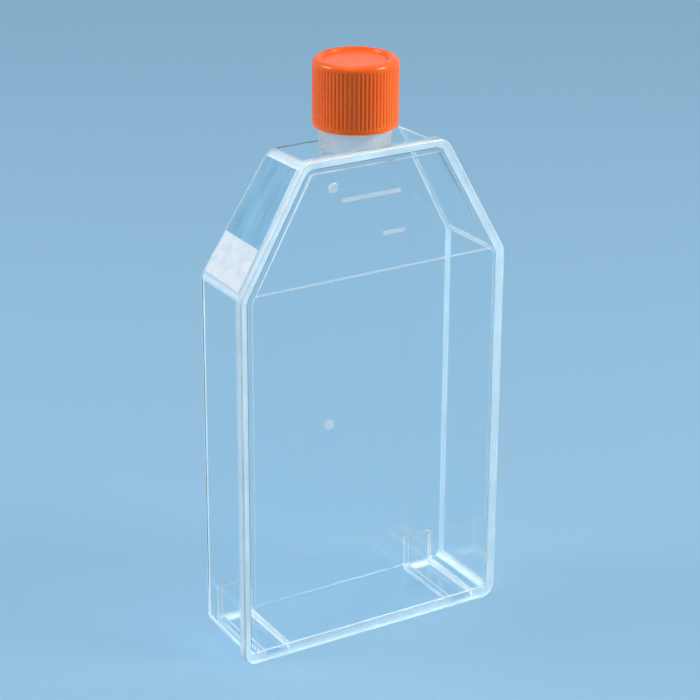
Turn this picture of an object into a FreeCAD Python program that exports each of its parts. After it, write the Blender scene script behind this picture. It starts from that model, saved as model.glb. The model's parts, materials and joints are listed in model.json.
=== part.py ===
import FreeCAD, Part
import math
import os

# A cell culture flask of clear polystyrene, standing on its end with the screw cap up.
# Millimetres. +Z runs up the neck, +X across the width, and the growth face looks towards -Y.
# The origin is under the middle of the flask, on the surface that it stands on.
#
# The flask is two mouldings welded round their rim: a tray, which carries the roof, the walls,
# the feet and the threaded neck, and a growth plate, which closes the tray's open side.
# A lined screw cap closes the neck.

# Outline of the welded rim, seen from the growth side
WIDTH = 112.0
TOP_WIDTH = 59.0
SHOULDER_HEIGHT = 146.0
BODY_HEIGHT = 193.0
BASE_CORNER_R = 5.0
SHOULDER_CORNER_R = 6.0
TOP_CORNER_R = 6.0

# Side view
DEPTH = 35.0  # growth face to roof
FOLD_HEIGHT = 147.0  # where the roof and the growth plate begin to lean towards the neck
FOLD_R = 8.0
ROOF_BEHIND_COLLAR = 0.4  # how far the roof passes behind the neck's collar

# Growth plate
RIM_THICKNESS = 2.0
RIM_WIDTH = 4.8
PANEL_THICKNESS = 1.8
PANEL_RECESS = 0.7  # keeps the growth panel clear of the shelf it lies on
PANEL_CLEARANCE = 0.2  # between the panel's step and the tray's walls
PLATE_EDGE_R = 0.6

# Tray
WALL = 1.6
FLANGE_THICKNESS = 2.0
FLANGE_OVERHANG = 1.5
FLANGE_EDGE_R = 0.5
DRAFT = 0.5  # how far each wall leans in between the flange and the roof
ROOF_EDGE_R = 2.4
LEAST_CORNER_R = 0.4

# Feet, hollow like the rest of the tray
FOOT_WIDTH = 13.0
FOOT_SPACING = 83.0  # between the feet's middles
FOOT_HEIGHT = 2.2
FOOT_BACK = 1.0  # how far the feet stand out of the roof
FOOT_REACH = 17.0  # how far they run up the roof
FOOT_HEEL_R = 3.2
FOOT_TOP_R = 1.6
FOOT_EDGE_R = 0.8

# Gate marks, where the plastic entered the tray's mould
GATE_R = 2.2
GATE_DEPTH = 0.4
GATE_NUB_R = 0.6
GATE_NUB_HEIGHT = 0.25

# Neck
NECK_BORE_R = 10.9
NECK_WALL = 1.7
NECK_LENGTH = 26.7  # from the rim's top to the lip
COLLAR_STEP = 0.8  # how far the collar stands out of the threaded part
COLLAR_HEIGHT = 6.8
COLLAR_CHAMFER = 0.6
LIP_R = 0.5

# Screw thread, one start, right-handed
THREAD_PITCH = 4.2
THREAD_DEPTH = 1.1
THREAD_WIDTH = 2.0  # of a ridge where it leaves its wall
THREAD_FLANK_DEG = 30.0
THREAD_CLEARANCE = 0.3  # on the flanks that bear when the cap is tight
THREAD_GAP = 0.4  # from each ridge's crest to the wall that it faces
THREAD_ROOT = 0.3  # how deep a ridge is rooted in its wall
THREAD_FADE_DEG = 40.0  # over which each end of a ridge sinks into its wall
THREAD_STEP_DEG = 10.0
NECK_THREAD_TURNS = 2.25
NECK_THREAD_TO_LIP = 2.6
CAP_THREAD_TURNS = 2.0
CAP_THREAD_TO_LIP = 5.3

# Cap
CAP_WALL = 1.4
CAP_TO_RIM = 6.0  # the length of neck that shows under the cap
CAP_TOP_THICKNESS = 1.5
CAP_TOP_RECESS = 1.2
CAP_RIM_WIDTH = 3.0
CAP_RECESS_SLOPE = 0.8
CAP_TOP_R = 2.0
CAP_RIM_R = 0.8
CAP_SKIRT_R = 0.4
CAP_SHELF_GAP = 0.2  # between the cap and the shelf, when the flask lies on its growth face

# Grip flutes round the cap
FLUTE_COUNT = 66
FLUTE_R = 0.4
FLUTE_DEPTH = 0.22
FLUTE_TO_SKIRT = 1.8
FLUTE_TO_TOP = 0.4  # the smooth band under the rounded top edge

# Liner, cut from foam sheet
LINER_THICKNESS = 1.2
LINER_GAP = 0.5  # to the cap's wall

# Places that follow from the sizes above
GROWTH_FACE_Y = -(DEPTH + FOOT_BACK) / 2
WELD_Y = GROWTH_FACE_Y + RIM_THICKNESS
ROOF_Y = GROWTH_FACE_Y + DEPTH
BACK_Y = ROOF_Y + FOOT_BACK
PANEL_FRONT_Y = GROWTH_FACE_Y + PANEL_RECESS
PANEL_BACK_Y = PANEL_FRONT_Y + PANEL_THICKNESS
NECK_ROOT_R = NECK_BORE_R + NECK_WALL
COLLAR_R = NECK_ROOT_R + COLLAR_STEP
CAP_BORE_R = NECK_ROOT_R + THREAD_DEPTH + THREAD_GAP
CAP_R = CAP_BORE_R + CAP_WALL
NECK_Y = GROWTH_FACE_Y + CAP_SHELF_GAP + CAP_R
NECK_FOOT_Z = BODY_HEIGHT - FLANGE_OVERHANG - WALL - ROOF_EDGE_R
ROOF_FALL = ROOF_Y - (NECK_Y + COLLAR_R + ROOF_BEHIND_COLLAR)
RAMP_RISE = NECK_Y - NECK_BORE_R - PANEL_BACK_Y  # the ramp ends level with the bore
GATE_HEIGHTS = (FOLD_HEIGHT / 2, (FOLD_HEIGHT + BODY_HEIGHT) / 2)
LIP_Z = BODY_HEIGHT + NECK_LENGTH
CAP_INSIDE_Z = LIP_Z + LINER_THICKNESS
CAP_PANEL_Z = CAP_INSIDE_Z + CAP_TOP_THICKNESS
CAP_TOP_Z = CAP_PANEL_Z + CAP_TOP_RECESS
SKIRT_Z = BODY_HEIGHT + CAP_TO_RIM
BEYOND = 10.0  # how far a cutting shape runs past what it cuts


def along_x(x):
    """Places a side-view point (y, z) at a given x."""
    return lambda point: FreeCAD.Vector(x, point[0], point[1])


def along_y(y):
    """Places a front-view point (x, z) at a given y."""
    return lambda point: FreeCAD.Vector(point[0], y, point[1])


def half_section(point):
    """Places a half-section point (radius, z), to be turned about the neck's axis."""
    return FreeCAD.Vector(point[0], NECK_Y, point[1])


def directions(corners, index):
    """The unit vectors along the edges that reach and leave a corner."""
    before, here, after = corners[index - 1], corners[index], corners[(index + 1) % len(corners)]
    reach = (here[0] - before[0], here[1] - before[1])
    leave = (after[0] - here[0], after[1] - here[1])
    return [(u / math.hypot(u, v), v / math.hypot(u, v)) for u, v in (reach, leave)]


def inset_corners(corners, insets):
    """Moves each edge of an anticlockwise polygon inwards by its own inset.

    Edge number i leaves corner number i.
    """
    moved = []
    for i, (u, v) in enumerate(corners):
        (du1, dv1), (du2, dv2) = directions(corners, i)
        n1, n2 = (-dv1, du1), (-dv2, du2)
        k = n1[0] * n2[0] + n1[1] * n2[1]
        s1, s2 = insets[i - 1], insets[i]
        a, b = (s1 - k * s2) / (1 - k * k), (s2 - k * s1) / (1 - k * k)
        moved.append((u + a * n1[0] + b * n2[0], v + a * n1[1] + b * n2[1]))
    return moved


def rounded_wire(corners, radii, place):
    """A closed wire through an anticlockwise polygon, with each corner rounded to its radius."""
    edges = []
    first = last = None
    for i, (u, v) in enumerate(corners):
        (du1, dv1), (du2, dv2) = directions(corners, i)
        cross = du1 * dv2 - dv1 * du2
        half_turn = math.atan2(abs(cross), du1 * du2 + dv1 * dv2) / 2
        back = radii[i] * math.tan(half_turn)
        start = (u - back * du1, v - back * dv1)
        end = (u + back * du2, v + back * dv2)
        if last:
            edges.append(Part.makeLine(place(last), place(start)))
        else:
            first = start
        if radii[i]:
            # the arc's middle lies on the corner's bisector
            pu, pv = du2 - du1, dv2 - dv1
            bow = radii[i] * (1 / math.cos(half_turn) - 1) / math.hypot(pu, pv)
            middle = (u + bow * pu, v + bow * pv)
            edges.append(Part.Arc(place(start), place(middle), place(end)).toShape())
        last = end
    edges.append(Part.makeLine(place(last), place(first)))
    return Part.Wire(edges)


def rim_corners():
    """The welded rim's outline, anticlockwise from the base's left corner."""
    return [
        (-WIDTH / 2, 0),
        (WIDTH / 2, 0),
        (WIDTH / 2, SHOULDER_HEIGHT),
        (TOP_WIDTH / 2, BODY_HEIGHT),
        (-TOP_WIDTH / 2, BODY_HEIGHT),
        (-WIDTH / 2, SHOULDER_HEIGHT),
    ]


def outline(side_inset, base_inset, y):
    """The rim's outline taken in by side_inset, and by base_inset along the base."""
    corners = inset_corners(rim_corners(), [base_inset] + [side_inset] * 5)
    base, shoulder, top = (
        max(r - side_inset, LEAST_CORNER_R) for r in (BASE_CORNER_R, SHOULDER_CORNER_R, TOP_CORNER_R)
    )
    return rounded_wire(corners, [base, base, shoulder, top, top, shoulder], along_y(y))


def tray_outline(inset, y):
    """The tray's walls inset from their outside, which is itself inside the flange."""
    return outline(FLANGE_OVERHANG + inset, FOOT_HEIGHT + inset, y)


def plate_of(wire, vector):
    """A prism raised on a flat wire."""
    return Part.Face(wire).extrude(FreeCAD.Vector(*vector))


def edges_at(shape, test):
    """The edges with both ends and middle at places that pass a test."""
    found = []
    for edge in shape.Edges:
        middle = edge.valueAt((edge.FirstParameter + edge.LastParameter) / 2)
        if all(test(p) for p in [v.Point for v in edge.Vertexes] + [middle]):
            found.append(edge)
    return found


def roof_at(z):
    """The roof's y at a height, as if the fold were sharp."""
    return ROOF_Y - ROOF_FALL * max(z - FOLD_HEIGHT, 0) / (BODY_HEIGHT - FOLD_HEIGHT)


def under_roof(inset):
    """All that lies on the growth side of the roof, inset from its outside."""
    past_top = BODY_HEIGHT + BEYOND
    corners = [
        (WELD_Y - BEYOND, -BEYOND),
        (ROOF_Y, -BEYOND),
        (ROOF_Y, FOLD_HEIGHT),
        (roof_at(past_top), past_top),
        (WELD_Y - BEYOND, past_top),
    ]
    corners = inset_corners(corners, [0, inset, inset, 0, 0])
    wire = rounded_wire(corners, [0, 0, FOLD_R - inset, 0, 0], along_x(-WIDTH))
    return plate_of(wire, (2 * WIDTH, 0, 0))


def tray_form(inset):
    """The tray without its flange, feet and neck, as a solid inset from its outside."""
    walls = Part.makeLoft([tray_outline(inset, WELD_Y), tray_outline(inset + DRAFT, ROOF_Y)], True, True)
    form = walls.common(under_roof(inset))
    fold_low, fold_high = FOLD_HEIGHT - FOLD_R, FOLD_HEIGHT + FOLD_R
    roof_edges = [
        edge
        for edge in form.Edges
        if all(abs(v.Y - (roof_at(v.Z) - inset)) < 1 for v in edge.Vertexes)
        and not all(fold_low < v.Z < fold_high for v in edge.Vertexes if is_across(edge))
    ]
    return form.makeFillet(max(ROOF_EDGE_R - inset, LEAST_CORNER_R), roof_edges)


def is_across(edge):
    """True if an edge runs straight across the flask, along X."""
    return all(abs(v.Z - edge.Vertexes[0].Z) < 0.01 for v in edge.Vertexes)


def foot(side, inset):
    """A foot as a solid inset from its outside, on the side of x that side gives."""
    corners = [(WELD_Y, 0), (BACK_Y, 0), (BACK_Y, FOOT_REACH), (WELD_Y, FOOT_REACH)]
    corners = inset_corners(corners, [inset, inset, inset, 0])
    radii = [0, FOOT_HEEL_R - inset, max(FOOT_TOP_R - inset, 0), 0]
    half = FOOT_WIDTH / 2 - inset
    middle = side * FOOT_SPACING / 2
    block = plate_of(rounded_wire(corners, radii, along_x(middle - half)), (2 * half, 0, 0))
    if inset:
        return block
    sole = edges_at(block, lambda p: abs(abs(p.x - middle) - half) < 0.01 and p.y > WELD_Y + 0.01)
    sole += edges_at(block, lambda p: abs(abs(p.x - middle) - half) < 0.01 and p.z < 0.01)
    return block.makeFillet(FOOT_EDGE_R, sole)


def flange():
    """The tray's flat rim, which the growth plate is welded to."""
    slab = plate_of(outline(0, 0, WELD_Y), (0, FLANGE_THICKNESS, 0))
    back = edges_at(slab, lambda p: abs(p.y - WELD_Y - FLANGE_THICKNESS) < 0.01)
    return slab.makeFillet(FLANGE_EDGE_R, back)


def turned(corners, radii):
    """A solid turned about the neck's axis from half its section."""
    face = Part.Face(rounded_wire(corners, radii, half_section))
    return face.revolve(FreeCAD.Vector(0, NECK_Y, 0), FreeCAD.Vector(0, 0, 1), 360)


def thread_ridge(wall_r, depth, first_turn, turns, z_at_zero):
    """A helical ridge rooted in a round wall. A negative depth stands inwards."""
    sign = math.copysign(1, depth)
    flank = math.tan(math.radians(THREAD_FLANK_DEG))
    steps = math.ceil(turns * 360 / THREAD_STEP_DEG)
    fade_turns = THREAD_FADE_DEG / 360
    sections = []
    for step in range(steps + 1):
        along = turns * step / steps
        angle = 2 * math.pi * (first_turn + along)
        z = z_at_zero + THREAD_PITCH * (first_turn + along)
        share = min(1, along / fade_turns, (turns - along) / fade_turns)
        swell = math.sin(share * math.pi / 2) ** 2
        height = (abs(depth) + THREAD_ROOT / 2) * swell - THREAD_ROOT / 2
        corners = []
        for level, up in ((-THREAD_ROOT, -1), (height, -1), (height, 1), (-THREAD_ROOT, 1)):
            r = wall_r + sign * level
            rise = up * (THREAD_WIDTH / 2 - level * flank)
            corners.append(
                FreeCAD.Vector(r * math.cos(angle), NECK_Y + r * math.sin(angle), z + rise)
            )
        sections.append(Part.makePolygon(corners + corners[:1]))
    return Part.makeLoft(sections, True, False)


def neck_thread_z():
    """The height that the neck's helix has where it starts, at turn zero."""
    return LIP_Z - NECK_THREAD_TO_LIP - NECK_THREAD_TURNS * THREAD_PITCH


def thread_drop():
    """How far the cap's ridge lies below the neck's when the cap is tight."""
    flank = math.radians(THREAD_FLANK_DEG)
    shared = THREAD_WIDTH - (CAP_BORE_R - NECK_ROOT_R) * math.tan(flank)
    return shared + THREAD_CLEARANCE / math.cos(flank)


def neck():
    """The neck as a solid plug, with its collar and lip, before it is bored."""
    collar_top = BODY_HEIGHT + COLLAR_HEIGHT
    corners = [
        (0, NECK_FOOT_Z),
        (COLLAR_R, NECK_FOOT_Z),
        (COLLAR_R, collar_top - COLLAR_CHAMFER),
        (NECK_ROOT_R, collar_top),
        (NECK_ROOT_R, LIP_Z),
        (0, LIP_Z),
    ]
    return turned(corners, [0, 0, COLLAR_CHAMFER / 2, 0, LIP_R, 0])


def gate_marks():
    """Each gate's shallow dimple, and the nub left in its middle."""
    dimples, nubs = [], []
    lean = math.atan2(ROOF_FALL, BODY_HEIGHT - FOLD_HEIGHT)
    for z in GATE_HEIGHTS:
        tilt = lean if z > FOLD_HEIGHT else 0
        outwards = FreeCAD.Vector(0, math.cos(tilt), math.sin(tilt))
        floor = FreeCAD.Vector(0, roof_at(z), z) - outwards * GATE_DEPTH
        dimples.append(Part.makeCylinder(GATE_R, 2 * GATE_DEPTH, floor, outwards))
        nubs.append(Part.makeCone(GATE_NUB_R, GATE_NUB_R / 2, GATE_NUB_HEIGHT, floor, outwards))
    return dimples, nubs


def flask_body():
    """The tray: roof, walls, flange, feet and threaded neck, moulded in one."""
    dimples, nubs = gate_marks()
    outside = tray_form(0).fuse([flange(), neck(), foot(-1, 0), foot(1, 0)])
    bore_foot = FreeCAD.Vector(0, NECK_Y, NECK_FOOT_Z)
    bore = Part.makeCylinder(NECK_BORE_R, LIP_Z - NECK_FOOT_Z + BEYOND, bore_foot)
    hollow = [tray_form(WALL), foot(-1, WALL), foot(1, WALL), bore]
    body = outside.cut(hollow + dimples)
    ridge = thread_ridge(NECK_ROOT_R, THREAD_DEPTH, 0, NECK_THREAD_TURNS, neck_thread_z())
    return body.fuse([ridge] + nubs).removeSplitter()


def leaning_slab(front_y, back_y):
    """What lies behind a plane at back_y that leans in past the fold, as far out as front_y."""
    corners = [
        (front_y, -BEYOND),
        (back_y, -BEYOND),
        (back_y, FOLD_HEIGHT),
        (back_y + RAMP_RISE, BODY_HEIGHT),
        (front_y, BODY_HEIGHT),
    ]
    return plate_of(rounded_wire(corners, [0] * 5, along_x(-WIDTH)), (2 * WIDTH, 0, 0))


def growth_plate():
    """The flat plate with its rim, its recessed growth panel and the ramp up to the neck."""
    slab = plate_of(outline(0, 0, GROWTH_FACE_Y), (0, RIM_THICKNESS, 0))
    front = edges_at(slab, lambda p: abs(p.y - GROWTH_FACE_Y) < 0.01)
    slab = slab.makeFillet(PLATE_EDGE_R, front)
    reach = (0, DEPTH / 2, 0)
    step = plate_of(tray_outline(WALL + PANEL_CLEARANCE, WELD_Y - RIM_THICKNESS / 2), reach)
    step = step.common(leaning_slab(GROWTH_FACE_Y, PANEL_BACK_Y))
    pocket = plate_of(outline(RIM_WIDTH, RIM_WIDTH, GROWTH_FACE_Y - BEYOND), (0, BEYOND + DEPTH / 2, 0))
    pocket = pocket.common(leaning_slab(GROWTH_FACE_Y - BEYOND, PANEL_FRONT_Y))
    return slab.fuse(step).cut(pocket).removeSplitter()


def flutes():
    """The cutters for the fine grip flutes round the cap, which end under its rounded top."""
    r = CAP_R - FLUTE_DEPTH + FLUTE_R
    z = SKIRT_Z + FLUTE_TO_SKIRT
    length = CAP_TOP_Z - CAP_TOP_R - FLUTE_TO_TOP - z
    cutters = []
    for i in range(FLUTE_COUNT):
        angle = 2 * math.pi * i / FLUTE_COUNT
        foot_point = FreeCAD.Vector(r * math.cos(angle), NECK_Y + r * math.sin(angle), z)
        cutters.append(Part.makeCylinder(FLUTE_R, length, foot_point))
    return cutters


def cap_shell():
    """The screw cap: a fluted skirt, a recessed top and the inner thread."""
    rim_r = CAP_R - CAP_RIM_WIDTH
    corners = [
        (0, CAP_INSIDE_Z),
        (CAP_BORE_R, CAP_INSIDE_Z),
        (CAP_BORE_R, SKIRT_Z),
        (CAP_R, SKIRT_Z),
        (CAP_R, CAP_TOP_Z),
        (rim_r, CAP_TOP_Z),
        (rim_r - CAP_RECESS_SLOPE, CAP_PANEL_Z),
        (0, CAP_PANEL_Z),
    ]
    radii = [0, 0, CAP_SKIRT_R, CAP_SKIRT_R, CAP_TOP_R, CAP_RIM_R, CAP_RIM_R / 2, 0]
    shell = turned(corners, radii).cut(flutes())
    z_at_zero = neck_thread_z() - thread_drop()
    top_turn = (LIP_Z - CAP_THREAD_TO_LIP - z_at_zero) / THREAD_PITCH
    first_turn = top_turn - CAP_THREAD_TURNS
    ridge = thread_ridge(CAP_BORE_R, -THREAD_DEPTH, first_turn, CAP_THREAD_TURNS, z_at_zero)
    return shell.fuse(ridge)


def cap_liner():
    """The sealing disc inside the cap, which is pressed on the neck's lip."""
    r = CAP_BORE_R - LINER_GAP
    corners = [(0, LIP_Z), (r, LIP_Z), (r, CAP_INSIDE_Z), (0, CAP_INSIDE_Z)]
    return turned(corners, [0] * 4)


def main():
    os.makedirs("parts", exist_ok=True)
    for build in (flask_body, growth_plate, cap_shell, cap_liner):
        shape = build()
        shape.exportStep(f"parts/{build.__name__}.step")
        print(build.__name__, "valid", shape.isValid(), "solids", len(shape.Solids), round(shape.Volume, 1))


main()
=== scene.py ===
"""A cell culture flask of clear polystyrene with an orange screw cap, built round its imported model.

The tray, the growth plate, the cap and the liner are modelled here at the places that the frame
gives, and each stands for the node of the same name. Lengths are in metres, +Z runs up the neck and
the growth face looks towards -Y.
"""

import json
import logging
import math
from collections.abc import Callable, Iterable, Iterator
from contextlib import contextmanager
from dataclasses import dataclass
from enum import Enum, IntEnum

import bmesh
import bpy
from mathutils import Euler, Matrix, Vector


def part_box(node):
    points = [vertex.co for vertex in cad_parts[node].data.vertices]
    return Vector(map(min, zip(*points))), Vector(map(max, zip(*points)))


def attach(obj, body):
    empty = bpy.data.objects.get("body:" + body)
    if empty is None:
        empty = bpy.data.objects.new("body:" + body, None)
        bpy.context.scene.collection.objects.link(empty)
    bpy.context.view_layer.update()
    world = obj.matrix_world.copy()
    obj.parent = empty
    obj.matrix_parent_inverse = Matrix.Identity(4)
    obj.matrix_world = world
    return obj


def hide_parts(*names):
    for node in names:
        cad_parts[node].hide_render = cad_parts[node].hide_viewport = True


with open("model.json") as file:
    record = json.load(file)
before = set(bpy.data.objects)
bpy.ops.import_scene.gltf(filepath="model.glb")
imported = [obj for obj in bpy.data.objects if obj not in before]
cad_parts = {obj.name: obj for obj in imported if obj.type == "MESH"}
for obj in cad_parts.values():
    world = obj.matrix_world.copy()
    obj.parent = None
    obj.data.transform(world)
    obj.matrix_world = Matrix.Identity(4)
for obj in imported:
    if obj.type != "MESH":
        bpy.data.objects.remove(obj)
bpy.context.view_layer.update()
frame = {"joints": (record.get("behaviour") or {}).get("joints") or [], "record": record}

logging.basicConfig(level=logging.INFO, format="%(message)s")
LOG = logging.getLogger("flask")

MM = 0.001
TINY = 1e-5
SMOOTH_ANGLE = math.radians(32)
CORNER_ANGLE = math.radians(20)
BEND_ANGLE = math.radians(1.5)

# How much of a face's normal lies along a direction for the face to count as...
LEVEL = 0.02  # level with it, at most
LEANING = 0.5  # leaning towards it, at least
TOWARDS = 0.9  # turned towards it
SQUARE = 0.99  # square to it
FLUSH = 0.999  # one of a flat's own faces
FLAT = 0.9995  # no part of a rounding

POLYSTYRENE_IOR = 1.59
PLASTIC_IOR = 1.5

Piece = bpy.types.Object
Socket = bpy.types.NodeSocket
Face = bmesh.types.BMFace
Edge = bmesh.types.BMEdge
Vertex = bmesh.types.BMVert
Test = Callable[[object], bool]
Point = tuple[float, float, float]


# Bench tools: each works on one mesh the way a hand would


class Pick(Enum):
    """What a selection in edit mode is made of."""

    VERTICES = (True, False, False)
    EDGES = (False, True, False)
    FACES = (False, False, True)


class Join(Enum):
    """How one solid is combined with another."""

    ADD = "UNION"
    CUT = "DIFFERENCE"


def take_up(piece: Piece) -> None:
    """Makes a piece the only selected object, and the active one.

    Args:
        piece: The mesh object to work on.
    """
    bpy.ops.object.select_all(action="DESELECT")
    piece.select_set(True)
    bpy.context.view_layer.objects.active = piece


@contextmanager
def editing(piece: Piece) -> Iterator[None]:
    """Opens a piece in edit mode with nothing selected, and closes it again.

    Args:
        piece: The mesh object to edit.

    Yields:
        Nothing. The operators between act on the piece.
    """
    take_up(piece)
    bpy.ops.object.mode_set(mode="EDIT")
    bpy.ops.mesh.select_all(action="DESELECT")
    yield
    bpy.ops.object.mode_set(mode="OBJECT")


def pick(kind: Pick, test: Test) -> None:
    """Selects the parts of the mesh being edited that pass a test, and nothing else.

    Args:
        kind: Vertices, edges or faces.
        test: Says of one part whether it is taken.
    """
    bpy.context.tool_settings.mesh_select_mode = kind.value
    bpy.ops.mesh.select_all(action="DESELECT")
    data = bpy.context.edit_object.data
    mesh = bmesh.from_edit_mesh(data)
    mesh.normal_update()
    parts = {Pick.VERTICES: mesh.verts, Pick.EDGES: mesh.edges, Pick.FACES: mesh.faces}[kind]
    taken = [part for part in parts if test(part)]
    for part in taken:
        part.select_set(True)
    mesh.select_flush_mode()
    bmesh.update_edit_mesh(data)


def settle(piece: Piece, name: str) -> Piece:
    """Names a piece and moves its place, turn and size into its mesh.

    Args:
        piece: The mesh object.
        name: Its new name.

    Returns:
        The same object.
    """
    take_up(piece)
    bpy.ops.object.transform_apply(location=True, rotation=True, scale=True)
    piece.name = piece.data.name = name
    return piece


def block(name: str, low: Point, high: Point) -> Piece:
    """A box between two corners, as a start for shaping.

    Args:
        name: The object's name.
        low: The lowest corner.
        high: The highest corner.

    Returns:
        The new mesh object.
    """
    middle = [(a + b) / 2 for a, b in zip(low, high)]
    size = [b - a for a, b in zip(low, high)]
    bpy.ops.mesh.primitive_cube_add(size=1, location=middle, scale=size)
    return settle(bpy.context.object, name)


def slice_off(where: Point, normal: Point) -> None:
    """Cuts away what lies beyond a plane and closes the cut.

    Args:
        where: A point on the plane.
        normal: Points to the side that goes.
    """
    bpy.ops.mesh.select_all(action="SELECT")
    bpy.ops.mesh.bisect(plane_co=where, plane_no=normal, use_fill=True, clear_outer=True)


def round_off(distance: float, segments: int = 4) -> None:
    """Rounds the selected edges.

    Args:
        distance: How far back from the edge the rounding starts.
        segments: How many faces the rounding has.
    """
    bpy.ops.mesh.bevel(
        offset_type="OFFSET", offset=distance, segments=segments, profile=0.5, clamp_overlap=False
    )


def combine(piece: Piece, join: Join, others: Iterable[Piece]) -> None:
    """Adds solids to a piece, or cuts them out of it, and uses them up.

    Args:
        piece: The mesh object that is kept.
        join: Whether the others are added or cut out.
        others: The solids, which are deleted.
    """
    for other in others:
        take_up(piece)
        step = piece.modifiers.new(join.name, "BOOLEAN")
        step.operation = join.value
        step.solver = "MANIFOLD"
        step.object = other
        bpy.ops.object.modifier_apply(modifier=step.name)
        bpy.data.objects.remove(other)


def turned(name: str, axis_y: float, profile: list[tuple[float, float]], sides: int) -> Piece:
    """A solid of revolution about the neck's axis, drawn out ring by ring.

    Args:
        name: The object's name.
        axis_y: Where the axis stands.
        profile: The rings' (radius, height), from one closed end to the other.
        sides: How many sides each ring has.

    Returns:
        The new mesh object, closed at both ends.
    """
    (radius, height), *rest = profile
    bpy.ops.mesh.primitive_circle_add(
        vertices=sides, radius=radius, fill_type="NGON", location=(0, axis_y, height)
    )
    piece = settle(bpy.context.object, name)
    with editing(piece):
        pick(Pick.EDGES, lambda edge: True)
        for next_radius, next_height in rest:
            bpy.ops.mesh.extrude_edges_move(
                TRANSFORM_OT_translate={"value": (0, 0, next_height - height)}
            )
            share = next_radius / radius
            bpy.ops.transform.resize(
                value=(share, share, 1), center_override=(0, axis_y, next_height)
            )
            radius, height = next_radius, next_height
        bpy.ops.mesh.edge_face_add()
        bpy.ops.mesh.select_all(action="SELECT")
        bpy.ops.mesh.normals_make_consistent(inside=False)
    return piece


def eased(corners: list[Point], steps: int = 6) -> list[tuple[float, float]]:
    """A profile with rounded corners.

    Args:
        corners: Each corner's (radius from the axis, height, rounding); 0 leaves it sharp.
        steps: How many stretches each rounding has.

    Returns:
        The profile's (radius, height) points.
    """
    points = []
    for i, (x, z, rounding) in enumerate(corners):
        here = Vector((x, z))
        if not rounding or i in (0, len(corners) - 1):
            points.append((x, z))
            continue
        reach = (here - Vector(corners[i - 1][:2])).normalized()
        leave = (Vector(corners[i + 1][:2]) - here).normalized()
        turn = reach.angle_signed(leave)
        start = here - reach * rounding * math.tan(abs(turn) / 2)
        across = Vector((reach.y, -reach.x)) * math.copysign(rounding, turn)
        for step in range(steps + 1):
            spoke = (-across).copy()
            spoke.rotate(Matrix.Rotation(-turn * step / steps, 2))
            points.append(tuple(start + across + spoke))
    return points


def bend(piece: Piece, hinge: Point, height: float, half_turn: float, beyond: float,
         stretch: float = 1) -> None:
    """Turns what a piece has behind a plane and above a fold, in two equal bends.

    Args:
        piece: The mesh object.
        hinge: The lower bend's place on the face that turns.
        height: How far above it the upper bend is.
        half_turn: Each bend's angle, positive to lean back.
        beyond: The y of the plane.
        stretch: How much each bend stretches what it turns along z.
    """
    pivot = Vector(hinge)
    levels = (hinge[2], hinge[2] + height)
    with editing(piece):
        for z in levels:
            bpy.ops.mesh.select_all(action="SELECT")
            bpy.ops.mesh.bisect(plane_co=(0, 0, z), plane_no=(0, 0, 1))
        for z in levels:
            pick(Pick.VERTICES, lambda vertex: vertex.co.y > beyond and vertex.co.z > z + TINY)
            bpy.ops.transform.resize(value=(1, 1, stretch), center_override=pivot)
            bpy.ops.transform.rotate(value=half_turn, orient_axis="X", center_override=pivot)
            pivot += Vector((0, height * math.tan(half_turn), height))


def finish_surface(piece: Piece) -> None:
    """Merges doubled points, and shades faces smooth up to sharp edges.

    Args:
        piece: The mesh object.
    """
    with editing(piece):
        bpy.ops.mesh.select_all(action="SELECT")
        bpy.ops.mesh.remove_doubles(threshold=TINY / 10)
        bpy.ops.mesh.dissolve_degenerate(threshold=TINY / 10)
    take_up(piece)
    bpy.ops.object.shade_smooth_by_angle(angle=SMOOTH_ANGLE)
    normals = piece.modifiers.new("even_normals", "WEIGHTED_NORMAL")
    normals.keep_sharp = True
    bpy.ops.object.modifier_apply(modifier=normals.name)


# Finishes


def seen_rays(tree: bpy.types.NodeTree) -> Socket:
    """Tells the rays that see a surface from those that light it.

    Args:
        tree: The node tree to work in.

    Returns:
        A socket that is 1 for camera, mirrored and refracted rays, and 0 for all others.
    """
    path = tree.nodes.new("ShaderNodeLightPath")
    shown = path.outputs["Is Camera Ray"]
    for name in ("Is Glossy Ray", "Is Transmission Ray"):
        either = tree.nodes.new("ShaderNodeMath")
        either.operation = "MAXIMUM"
        tree.links.new(shown, either.inputs[0])
        tree.links.new(path.outputs[name], either.inputs[1])
        shown = either.outputs["Value"]
    return shown


def show_mixed(tree: bpy.types.NodeTree, output: bpy.types.Node, share: Socket,
               first: Socket, second: Socket) -> None:
    """Shows one shader in place of part of another.

    Args:
        tree: The node tree to work in.
        output: The tree's output.
        share: 0 shows the first shader and 1 the second.
        first: The first shader.
        second: The second shader.
    """
    mix = tree.nodes.new("ShaderNodeMixShader")
    for source, target in zip((share, first, second), mix.inputs):
        tree.links.new(source, target)
    tree.links.new(mix.outputs["Shader"], output.inputs["Surface"])


@dataclass(frozen=True)
class Waves:
    """An uneven pattern: its waves to the metre, its finer octaves, its density along each axis."""

    scale: float
    octaves: float
    stretch: Point = (1, 1, 1)


@dataclass(frozen=True)
class Relief:
    """Small relief all over a surface: its pattern, its depth, and how much of it shows."""

    waves: Waves
    depth: float
    strength: float


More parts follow.
